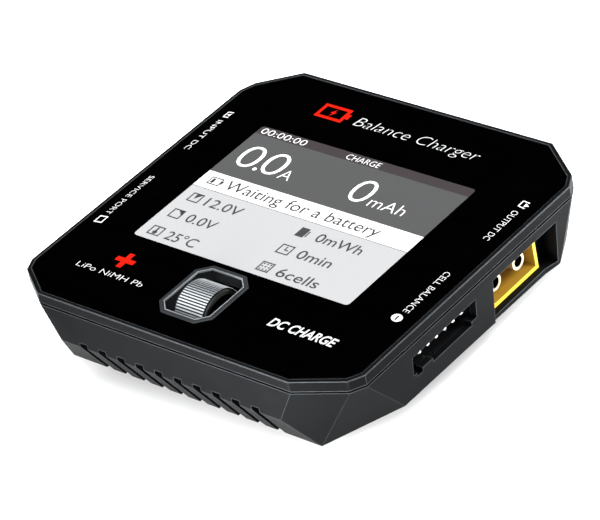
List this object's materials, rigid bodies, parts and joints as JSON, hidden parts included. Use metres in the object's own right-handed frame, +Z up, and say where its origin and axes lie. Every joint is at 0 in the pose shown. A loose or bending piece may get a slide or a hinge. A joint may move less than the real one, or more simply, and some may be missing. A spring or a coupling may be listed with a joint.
{
  "type": "balance battery charger",
  "caption": "Square faceted battery charger with a folded black display top, a roller control, shrouded power connectors in side recesses, a balance header and vent slots.",
  "frame": {"origin": "centre of the square footprint, on the surface that the rubber feet stand on", "axes": "+Z up through the display, +X to the output and balance side, +Y to the edge above the top line of the display, so the roller control is towards -Y"},
  "size_m": [0.08, 0.08, 0.0209],
  "materials": {
    "case_plastic": "fine spark-eroded satin moulding",
    "rim_plastic": "satin moulding",
    "cover_glass": "polished, printed black behind",
    "display_face": "smooth lit display face",
    "wheel_plastic": "silver-grey satin moulding",
    "black_plastic": "satin moulding",
    "connector_nylon": "satin amber nylon",
    "gold_plate": "bright plating",
    "tin_plate": "bright tin plating",
    "steel": "zinc-plated",
    "aluminium": "brushed",
    "board_laminate": "solder-masked laminate",
    "ferrite": "pressed powder",
    "rubber": "matt",
    "ribbon_film": "smooth film"
  },
  "bodies": {
    "case": {"lower_shell": "case_plastic", "upper_frame": "rim_plastic", "cover_glass": "cover_glass", "wheel_ring": "rim_plastic", "case_screw_1": "steel", "case_screw_2": "steel", "case_screw_3": "steel", "case_screw_4": "steel", "rubber_foot_1": "rubber", "rubber_foot_2": "rubber", "rubber_foot_3": "rubber", "rubber_foot_4": "rubber", "display_panel": "display_face", "display_backlight": "steel", "display_ribbon": "ribbon_film", "circuit_board": "board_laminate", "processor": "black_plastic", "power_inductor_1": "ferrite", "power_inductor_2": "ferrite", "current_shunt": "steel", "input_fuse": "tin_plate", "input_capacitor_1": "aluminium", "input_capacitor_2": "aluminium", "output_capacitor_1": "aluminium", "output_capacitor_2": "aluminium", "buzzer": "black_plastic", "heat_sink": "aluminium", "thermal_pad": "rubber", "output_connector": "connector_nylon", "output_contact_positive": "gold_plate", "output_contact_negative": "gold_plate", "input_connector": "connector_nylon", "input_contact_positive": "gold_plate", "input_contact_negative": "gold_plate", "balance_header": "black_plastic", "balance_pin_1": "tin_plate", "balance_pin_2": "tin_plate", "balance_pin_3": "tin_plate", "balance_pin_4": "tin_plate", "balance_pin_5": "tin_plate", "balance_pin_6": "tin_plate", "balance_pin_7": "tin_plate", "service_socket": "steel", "service_tongue": "black_plastic", "fan_frame": "black_plastic", "fan_screw_1": "steel", "fan_screw_2": "steel", "yoke_guide": "black_plastic", "push_switch_body": "steel"},
    "yoke": {"wheel_yoke": "black_plastic", "wheel_axle": "steel"},
    "wheel": {"selector_wheel": "wheel_plastic"},
    "plunger": {"push_switch_plunger": "black_plastic"},
    "rotor": {"fan_rotor": "black_plastic"}
  },
  "joints": [
    {"name": "wheel_press", "type": "slide", "parent": "case", "child": "yoke", "axis": [0, 0, -1], "range_m": [0, 0.0005], "stiffness_N_per_m": 2400},
    {"name": "wheel_spin", "type": "hinge", "parent": "yoke", "child": "wheel", "pos_m": [-0.0006, -0.02635, 0.01515], "axis": [1, 0, 0], "continuous": true},
    {"name": "switch_press", "type": "slide", "parent": "case", "child": "plunger", "axis": [0, 0, -1], "range_m": [0, 0.0005]},
    {"name": "fan_spin", "type": "hinge", "parent": "case", "child": "rotor", "pos_m": [0, 0.008, 0.0068], "axis": [0, 0, 1], "continuous": true}
  ],
  "couplings": [
    {"joint": "switch_press", "follows": "wheel_press", "ratio": 1}
  ]
}
